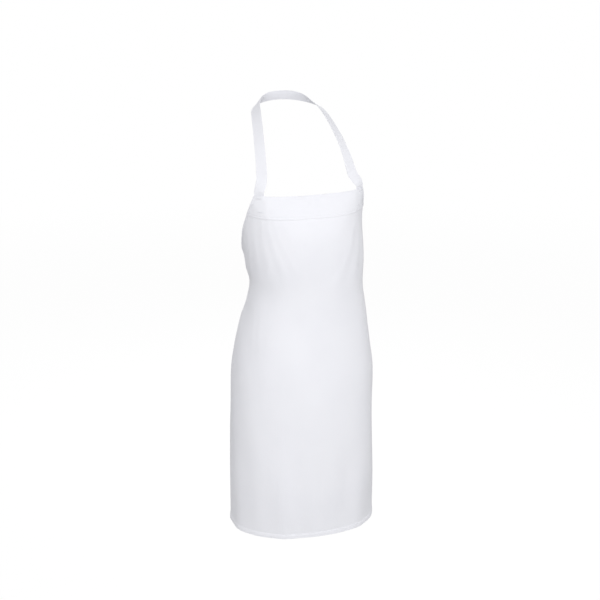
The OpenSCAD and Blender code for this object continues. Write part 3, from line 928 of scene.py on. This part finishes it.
class APRON_OT_bindings(bpy.types.Operator):
    """Fold a tape round each armhole edge"""
    bl_idname = "apron.bindings"
    bl_label = "Armhole bindings"

    def execute(self, context):
        scene = context.scene
        cut, sewing = scene.apron_cut, scene.apron_sewing
        cloth, wide, back = draped(), cut.binding_width, -cut.twill
        row = wide - sewing.inset
        leaf = [(wide, 0.30), (wide - 0.0008, 0.48), (row, 0.38), (row - 0.0009, 0.56),
                (wide * 0.4, 0.66), (0.0010, 0.58), (-0.0001, 0.36)]
        fold = ([(x, t / 1000) for x, t in leaf] + [(-0.0006, back / 2)]
                + [(x, back - t / 1000) for x, t in reversed(leaf)])
        downs = between(0.0002, cut.armhole_depth - 0.0002, 0.0032)
        down, inward = np.meshgrid(downs, [x for x, _ in fold], indexing="ij")
        off = np.broadcast_to([t for _, t in fold], down.shape)
        around = np.cumsum([0] + [math.dist(a, b) for a, b in zip(fold, fold[1:])])
        pattern = np.stack([np.broadcast_to(around, down.shape), -down], -1)
        for side in (LEFT, RIGHT):
            points = edge_point(cloth, side, down, inward, off)
            mirrored = points if side == RIGHT else points[:, ::-1]
            piece = cloth_piece(f"binding_{SIDE_NAME[side]}", mirrored, cut.twill * 0.8, pattern,
                                rounds=1)
            finish(piece, finishes()["woven_strap"], "apron",
                   [f"armhole_binding_{SIDE_NAME[side]}"])
        return {"FINISHED"}


class APRON_OT_label(bpy.types.Operator):
    """Sew a blank satin label below the facing, on the inside"""
    bl_idname = "apron.label"
    bl_label = "Care label"

    def execute(self, context):
        cut = context.scene.apron_cut
        start = cut.facing_depth + 0.001
        downs = between(start, start + 0.026, 0.0013)
        label = laid("label", downs, lambda half: np.linspace(-0.016, 0.016, 21),
                     -cut.twill - 0.0006, 0.0003)
        finish(label, finishes()["label_satin"], "apron", ["care_label"])
        return {"FINISHED"}


def panel_row(name, across, down, off, face=1):
    """A row of stitches on the panel, on the outer face or on the inner one."""
    cloth = draped()
    return stitch_row(name, cloth.at(across, down, off), cloth.normal(across, down) * face)


class APRON_OT_stitches(bpy.types.Operator):
    """Sew the facing, the hems and the bindings down with rows of single stitches"""
    bl_idname = "apron.stitches"
    bl_label = "Stitch rows"

    def execute(self, context):
        scene = context.scene
        cut, sewing = scene.apron_cut, scene.apron_sewing
        cloth, thread = draped(), finishes()["sewing_thread"]
        inside = -3 * cut.twill - 0.0003
        facing = facing_row(cut, sewing)
        half = cloth.worn.half_width(facing)
        x = np.linspace(-1, 1, 240) * (half - 0.0115)
        level = np.full_like(x, facing)
        rows = {"facing_stitching": [(x / half, level, 0.0002, 1),
                                     (x / half, level, -2 * cut.twill - 0.0004, -1)]}
        low = bottom_row(cut, sewing)
        half = cut.skirt_width / 2
        x = np.linspace(-1, 1, 500) * (half - cut.hem_width - 0.001)
        level = np.full_like(x, low)
        rows["bottom_stitching"] = [(x / half, level, 0.0002, 1), (x / half, level, inside, -1)]
        down = np.linspace(cut.armhole_depth + 0.004, low, 500)
        for side in (LEFT, RIGHT):
            across = np.full_like(down, side * (1 - (cut.hem_width - sewing.inset) / half))
            rows[f"side_stitching_{SIDE_NAME[side]}"] = [(across, down, 0.0002, 1),
                                                         (across, down, inside, -1)]
        for node, both in rows.items():
            pieces = [panel_row(f"{node}_{k}", *row) for k, row in enumerate(both)]
            finish(join(f"{node}_thread", pieces), thread, "apron", [node])
        down = np.linspace(0.003, cut.armhole_depth - 0.004, 240)
        inward = np.full_like(down, cut.binding_width - sewing.inset)
        half = cloth.worn.half_width(down)
        for side in (LEFT, RIGHT):
            across = side * (half - inward) / half
            name = f"armhole_stitching_{SIDE_NAME[side]}"
            pieces = [panel_row(f"{name}_{k}", across, down, off, face)
                      for k, (off, face) in enumerate([(0.00066, 1), (-cut.twill - 0.00066, -1)])]
            finish(join(f"{name}_thread", pieces), thread, "apron", [name])
        return {"FINISHED"}


class APRON_OT_bartacks(bpy.types.Operator):
    """Tack the ends of the neck strap and of the ties with bars of close stitches"""
    bl_idname = "apron.bartacks"
    bl_label = "Bar tacks"

    def execute(self, context):
        cut = context.scene.apron_cut
        cloth, thread = draped(), finishes()["sewing_thread"]

        def tack(name, x, down, width, height, upright):
            half = cloth.worn.half_width(down)
            middle, out = cloth.at(x / half, down, 0.0003), cloth.normal(x / half, down)
            beside = unit(cloth.at((x + 0.004) / half, down) - cloth.at((x - 0.004) / half, down))
            above = np.cross(beside, out)
            across, along = (above, beside) if upright else (beside, above)
            return bar_tack(name, middle, across, along, out, width, height, int(width / 0.00075))

        tie_drop = cut.armhole_depth + cut.strap_width / 2 + 0.002
        strap_at = cut.bib_width / 2 - cut.strap_width / 2
        side_edge = cut.skirt_width / 2
        for side in (LEFT, RIGHT):
            name = f"neck_bartack_{SIDE_NAME[side]}"
            bars = [tack(f"{name}_{k}", side * strap_at, down, 0.014, 0.0024, False)
                    for k, down in enumerate((0.007, cut.strap_seam - 0.007))]
            finish(join(f"{name}_thread", bars), thread, "apron", [name])
            name = f"waist_bartack_{SIDE_NAME[side]}"
            bars = [tack(f"{name}_{k}", side * x, tie_drop, 0.016, 0.0024, True)
                    for k, x in enumerate((side_edge - 0.006, side_edge - cut.tie_seam + 0.005))]
            finish(join(f"{name}_thread", bars), thread, "apron", [name])
        return {"FINISHED"}


# ---------------------------------------------------------------- neck strap and ties
# how far the nape's end of the strap lies to the wearer's right of the middle
NECK_SHIFT = 0.024
# centre line of the neck strap from the wearer's left side of the bib to the nape:
# [x, y, height above the bib as a share of the rise, then the way its outer face looks]
STRAP_ROUTE = [
    [0.110, -0.083, 0.20, 0.25, -0.96, 0.1],
    [0.104, -0.076, 0.43, 0.45, -0.86, 0.2],
    [0.097, -0.056, 0.65, 0.52, -0.70, 0.45],
    [0.088, -0.026, 0.85, 0.52, -0.40, 0.75],
    [0.080, 0.004, 0.97, 0.50, 0.00, 0.86],
    [0.073, 0.030, 1.01, 0.48, 0.30, 0.82],
    [0.058, 0.060, 1.05, 0.38, 0.70, 0.60],
    [0.032, 0.080, 1.08, 0.18, 0.90, 0.40],
    [0.000, 0.087, 1.09, 0, 0.94, 0.34]]


def strap_side(cloth, cut, side):
    """One side of the neck strap, from its sewn end behind the facing to the nape."""
    rise = -cloth.worn.top
    x = cut.bib_width / 2 - cut.strap_width / 2
    behind = -cut.twill * 3 - 0.0003 - cut.strap_thickness / 2
    sewn = between(cut.strap_seam, 0.0004, 0.0035)
    across = side * x / cloth.worn.half_width(sewn)
    low, low_faces = cloth.at(across, sewn, behind), cloth.normal(across, sewn)
    edge, face = low[-1], low_faces[-1]
    knots = [[*edge, *face], [*(edge + [0, 0, 0.012]), *face]]
    for x0, y, share, nx, ny, nz in STRAP_ROUTE:
        knots.append([side * x0 - NECK_SHIFT * min(1, share), y, (share - 1) * rise,
                      side * nx, ny, nz])
    free = spline(knots, 7)[1:]
    return np.vstack([low, free[:, :3]]), np.vstack([low_faces, unit(free[:, 3:])])


class APRON_OT_neck_strap(bpy.types.Operator):
    """Run the neck strap over the shoulders, and stitch its edges"""
    bl_idname = "apron.neck_strap"
    bl_label = "Neck strap"

    def execute(self, context):
        cut = context.scene.apron_cut
        cloth = draped()
        left, left_faces = strap_side(cloth, cut, LEFT)
        right, right_faces = strap_side(cloth, cut, RIGHT)
        middles = np.vstack([left, right[-2::-1]])
        faces = np.vstack([left_faces, right_faces[-2::-1]])
        halves = np.full(len(middles), cut.strap_width / 2)
        strap, route = tape("strap", middles, faces, halves, cut.strap_thickness, 0.00035, 5)
        finish(strap, finishes()["woven_strap"], None,
               ["neck_strap", "neck_strap_end_left", "neck_strap_end_right"])
        clear = cut.strap_seam + 0.004
        rows = tape_rows("strap_thread", route, cut.strap_thickness, clear, clear, 0.00035, 5)
        finish(rows, finishes()["sewing_thread"], None, ["neck_strap_stitching"])
        for piece in (strap, rows):
            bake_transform(piece)
        return {"FINISHED"}


def stations(node, count, order):
    """The frame's stations along a ribbon: middle points and half widths, in order."""
    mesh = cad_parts[node].data
    points = np.unique(np.round([v.co[:] for v in mesh.vertices], 6), axis=0)
    groups = np.array_split(points[np.argsort(order(points))], count)
    middles = np.array([g.mean(0) for g in groups])
    halves = [np.linalg.norm(g - g.mean(0), axis=1).max() for g in groups]
    return middles, np.array(halves)


class APRON_OT_waist_ties(bpy.types.Operator):
    """Run each tie from the side edge round the back to the knot"""
    bl_idname = "apron.waist_ties"
    bl_label = "Waist ties"

    def execute(self, context):
        cut = context.scene.apron_cut
        knot = knot_middle()
        for side in (LEFT, RIGHT):
            node = f"waist_tie_{SIDE_NAME[side]}"
            middles, halves = stations(node, 17, lambda p: -side * (p[:, 0] - knot[0]))
            halves = np.minimum(halves, cut.strap_width / 2)
            inner = middles[-1] * 0.4 + knot * 0.6
            way = spline(np.column_stack([np.vstack([middles, inner]),
                                          np.append(halves, halves[-1] * 0.9)]), 3)
            run = unit(np.gradient(way[:, :3], axis=0))
            faces = side * np.cross(run, [0, 0, 1.0])
            tie, route = tape(f"tie_{SIDE_NAME[side]}", way[:, :3], faces, way[:, 3],
                              cut.strap_thickness, 0.0002, 7 + side)
            finish(tie, finishes()["woven_strap"], "apron", [node])
            rows = tape_rows(f"tie_thread_{SIDE_NAME[side]}", route, cut.strap_thickness,
                             cut.tie_seam + 0.003, 0.014, 0.0002, 7 + side)
            finish(rows, finishes()["sewing_thread"], "apron",
                   [f"waist_tie_stitching_{SIDE_NAME[side]}"])
        return {"FINISHED"}


# ---------------------------------------------------------------- bow
# a loop of the bow: [share of its length, height off the knot's middle, half width]
LOOP_ROUTE = [
    [0.06, 0.0024, 0.0045], [0.14, 0.0022, 0.0056], [0.30, 0, 0.0105], [0.55, -0.0015, 0.0125],
    [0.80, -0.001, 0.0125], [0.95, 0.0025, 0.0125], [1.0, 0.008, 0.0125],
    [0.95, 0.0135, 0.0125], [0.80, 0.0165, 0.0125], [0.55, 0.0155, 0.0125],
    [0.30, 0.011, 0.0105], [0.14, 0.0064, 0.0056], [0.06, 0.0052, 0.0045]]


class APRON_OT_knot(bpy.types.Operator):
    """Tie the knot: a gathered core under a wrap of the strap"""
    bl_idname = "apron.knot"
    bl_label = "Knot"

    def execute(self, context):
        cut = context.scene.apron_cut
        low, high = box_of("bow_knot")
        middle, size = (low + high) / 2, (high - low) / 2
        deselect_all()
        bpy.ops.mesh.primitive_uv_sphere_add(segments=96, ring_count=48, radius=1)
        core = bpy.context.object
        weave = core.data.uv_layers[0]
        weave.name = "weave"
        for v in core.data.vertices:
            x, y, z = v.co
            turn, tall = math.atan2(x, y), z
            box = (abs(math.sin(turn)) ** 4 + abs(math.cos(turn)) ** 4) ** -0.25
            sides = abs(math.sin(turn)) ** 2
            pleat = 0.045 * math.sin(tall * 13 + 2.2 * math.sin(turn * 2)) * sides
            pleat += 0.030 * math.sin(turn * 7 + tall * 3) * (1 - sides)
            grow = min(box, 1.10) * (0.86 + pleat)
            v.co = (middle[0] + x * grow * size[0] * 0.98, middle[1] + y * grow * size[1] * 0.80,
                    middle[2] + math.copysign(abs(tall) ** 0.8, tall) * size[2] * 0.90 * (1 + pleat))
        for loop in core.data.loops:
            p = core.data.vertices[loop.vertex_index].co
            weave.data[loop.index].uv = (p.x - p.y, p.z)
        bpy.ops.object.shade_smooth()
        core.name = "knot_core"
        turns = np.linspace(-0.32, 1.32, 37) * math.pi
        reach_y, reach_z = size[1] * 0.93, size[2] * 0.95
        slant = np.linspace(-0.0022, 0.0022, len(turns))
        ring = np.stack([middle[0] + slant, middle[1] + reach_y * np.sin(turns),
                         middle[2] + reach_z * np.cos(turns)], 1)
        out = unit(ring * [0, 1, 1] - middle * [0, 1, 1])
        halves = 0.0078 + 0.0016 * np.cos(turns) ** 2
        wrap, _ = tape("knot_wrap", ring, out, halves, cut.strap_thickness, 0.0004, 23)
        knot = join("knot", [core, wrap])
        finish(knot, finishes()["woven_strap"], "apron", ["bow_knot"])
        return {"FINISHED"}


class APRON_OT_loops(bpy.types.Operator):
    """Form the two loops of the bow"""
    bl_idname = "apron.loops"
    bl_label = "Bow loops"

    length: length("Length", "From the middle of the knot", 0.108)
    droop: FloatProperty(name="Droop", description="Drop below level",
                         default=math.radians(25), subtype="ANGLE")

    def execute(self, context):
        cut = context.scene.apron_cut
        knot = knot_middle()
        for side in (LEFT, RIGHT):
            way = np.array([side * math.cos(self.droop), 0, -math.sin(self.droop)])
            knots = spline([[share * self.length, y, half] for share, y, half in LOOP_ROUTE], 8)
            middles = knot + knots[:, :1] * way + knots[:, 1:2] * [0, 1, 0]
            run = unit(np.gradient(knots[:, :2], axis=0))
            faces = run[:, 1:] * way - run[:, :1] * [0, 1, 0]
            body = f"bow_loop_{SIDE_NAME[side]}"
            loop, route = tape(f"loop_{SIDE_NAME[side]}", middles, faces, knots[:, 2],
                               cut.strap_thickness, 0.00045, 31 + side)
            finish(loop, finishes()["woven_strap"], body, [body])
            rows = tape_rows(f"loop_thread_{SIDE_NAME[side]}", route, cut.strap_thickness,
                             0.012, 0.012, 0.00045, 31 + side)
            finish(rows, finishes()["sewing_thread"], body)
        return {"FINISHED"}


# a tail of the bow: [share of its length, x and y off the knot's middle, half width]
TAIL_ROUTE = [
    [0, 0.006, -0.001, 0.0052], [0.02, 0.0061, -0.001, 0.0054], [0.05, 0.008, 0, 0.007],
    [0.1, 0.012, 0.003, 0.0108], [0.25, 0.016, 0.011, 0.0125], [0.5, 0.018, 0.016, 0.0125],
    [0.75, 0.022, 0.017, 0.0125], [1, 0.024, 0.016, 0.0125]]


class APRON_OT_tails(bpy.types.Operator):
    """Hang the two tails of the bow from the knot"""
    bl_idname = "apron.tails"
    bl_label = "Bow tails"

    def execute(self, context):
        cut = context.scene.apron_cut
        knot = knot_middle()
        for side in (LEFT, RIGHT):
            body = f"tie_tail_{SIDE_NAME[side]}"
            low, high = box_of(body)
            way = spline([[0.004 * side, -0.001, -0.005, 0.0050]]
                         + [[side * x, y, high[2] - knot[2] - share * (high[2] - low[2]), half]
                            for share, x, y, half in TAIL_ROUTE], 16)
            middles, halves = knot + way[:, :3], way[:, 3]
            share = np.clip((high[2] - middles[:, 2]) / (high[2] - low[2]), 0, 1)
            middles[:, 0] += side * 0.0016 * np.sin(share * 9 + side) * smooth(share * 4)
            middles[:, 1] += 0.0022 * np.sin(share * 7 + 2 * side) * smooth(share * 3)
            turn = side * 0.30 * np.sin(share * 5.2 + 0.6) * smooth((share - 0.08) * 3)
            faces = np.stack([np.sin(turn), np.cos(turn), np.zeros_like(turn)], 1)
            tail, route = tape(f"tail_{SIDE_NAME[side]}", middles, faces, halves,
                               cut.strap_thickness, 0.0005, 41 + side)
            finish(tail, finishes()["woven_strap"], None, [body])
            rows = tape_rows(f"tail_thread_{SIDE_NAME[side]}", route, cut.strap_thickness,
                             0.02, 0.004, 0.0005, 41 + side)
            finish(rows, finishes()["sewing_thread"], None)
            for piece in (tail, rows):
                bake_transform(piece)
        return {"FINISHED"}


# ---------------------------------------------------------------- stage
# strength of the even light from all round
AMBIENT = 0.67


class APRON_OT_stage(bpy.types.Operator):
    """Set the white floor, the soft lamps and the camera"""
    bl_idname = "apron.stage"
    bl_label = "Stage"

    def execute(self, context):
        scene = context.scene
        stage = scene.apron_stage
        low, high = np.array(CAD_BOX[0]), np.array(CAD_BOX[1])
        target = Vector((0.002, 0, (low[2] * 0.47 + high[2] * 0.53)))
        floor_height = low[2] - stage.floor_drop
        self.white_floor(floor_height)
        self.world(scene)
        self.lamp("key", target, (-1.0, -2.05, 0.48), 1.2, 24)
        self.lamp("fill", target, (1.9, -1.7, 0.7), 1.6, 16)
        self.lamp("back", target, (0.5, 2.2, 1.3), 1.6, 30)
        azimuth, elevation = stage.azimuth, stage.elevation
        away = Vector((math.sin(azimuth) * math.cos(elevation),
                       -math.cos(azimuth) * math.cos(elevation), math.sin(elevation)))
        bpy.ops.object.camera_add()
        camera = context.object
        camera.location = target + away * stage.distance
        camera.rotation_euler = away.to_track_quat("Z", "Y").to_euler()
        camera.data.sensor_width = 36
        camera.data.lens = 36 * stage.distance / stage.view_width
        scene.camera = camera
        scene.view_settings.view_transform = "Standard"
        return {"FINISHED"}

    def white_floor(self, height):
        deselect_all()
        bpy.ops.mesh.primitive_circle_add(vertices=64, radius=30, fill_type="NGON",
                                          location=(0, 0, height))
        floor = bpy.context.object
        floor.name = "floor"
        shader = Shader("floor_white")
        share = shader.seen_directly()
        place = shader.node("ShaderNodeTexCoord", output=3)
        away = shader.value("ShaderNodeVectorMath", {"operation": "LENGTH"}, {0: place}, output=1)
        keep = ((away - 2.5) * 0.5).clamp() * 0.1 + 0.9
        tint = shader.mix(share, (0.35, 0.35, 0.35), (1, 1, 1))
        paper = shader.node("ShaderNodeBsdfDiffuse", inputs={"Color": tint})
        glow = shader.node("ShaderNodeEmission", inputs={"Color": (1, 1, 1), "Strength": 1.0})
        mixed = shader.node("ShaderNodeMixShader", inputs={0: share * keep, 1: paper, 2: glow})
        shader.tree.links.new(mixed, shader.output.inputs["Surface"])
        floor.data.materials.append(shader.owner)

    def world(self, scene):
        shader = Shader(None, bpy.data.worlds.new("studio"))
        strength = shader.seen_directly() * (1 - AMBIENT) + AMBIENT
        sky = shader.node("ShaderNodeBackground", inputs={"Color": (1, 1, 1),
                                                          "Strength": strength})
        shader.tree.links.new(sky, shader.output.inputs["Surface"])
        scene.world = shader.owner

    def lamp(self, name, target, place, size, power):
        deselect_all()
        place = target + Vector(place)
        bpy.ops.object.light_add(type="AREA", location=place)
        lamp = bpy.context.object
        lamp.name = name
        lamp.rotation_euler = (place - target).to_track_quat("Z", "Y").to_euler()
        lamp.data.size = size
        lamp.data.energy = power


class APRON_PT_panel(bpy.types.Panel):
    """The apron's settings and its steps, in the order in which they are made"""
    bl_idname = "APRON_PT_panel"
    bl_label = "Butcher Apron"
    bl_space_type = "VIEW_3D"
    bl_region_type = "UI"
    bl_category = "Apron"

    def draw(self, context):
        layout = self.layout
        for settings in ("apron_cut", "apron_sewing", "apron_finish", "apron_stage"):
            group = getattr(context.scene, settings)
            column = layout.column()
            for name in group.__annotations__:
                column.prop(group, name)
        for operator in OPERATORS:
            layout.operator(operator.bl_idname)


SETTINGS = {"apron_cut": ApronCut, "apron_sewing": ApronSewing, "apron_finish": ApronFinish,
            "apron_stage": ApronStage}
OPERATORS = (APRON_OT_stage, APRON_OT_panel, APRON_OT_hems, APRON_OT_bindings, APRON_OT_label,
             APRON_OT_stitches, APRON_OT_bartacks, APRON_OT_neck_strap, APRON_OT_waist_ties,
             APRON_OT_knot, APRON_OT_loops, APRON_OT_tails)


def register():
    for made in (*SETTINGS.values(), *OPERATORS, APRON_PT_panel):
        bpy.utils.register_class(made)
    for name, group in SETTINGS.items():
        setattr(bpy.types.Scene, name, PointerProperty(type=group))


def unregister():
    for name in SETTINGS:
        delattr(bpy.types.Scene, name)
    for made in (APRON_PT_panel, *reversed(OPERATORS), *SETTINGS.values()):
        bpy.utils.unregister_class(made)


def main():
    register()
    bpy.ops.apron.stage()
    bpy.ops.apron.panel()
    bpy.ops.apron.hems()
    bpy.ops.apron.bindings()
    bpy.ops.apron.label()
    bpy.ops.apron.stitches()
    bpy.ops.apron.bartacks()
    bpy.ops.apron.neck_strap()
    bpy.ops.apron.waist_ties()
    bpy.ops.apron.knot()
    bpy.ops.apron.loops()
    bpy.ops.apron.tails()


if __name__ == "__main__":
    main()
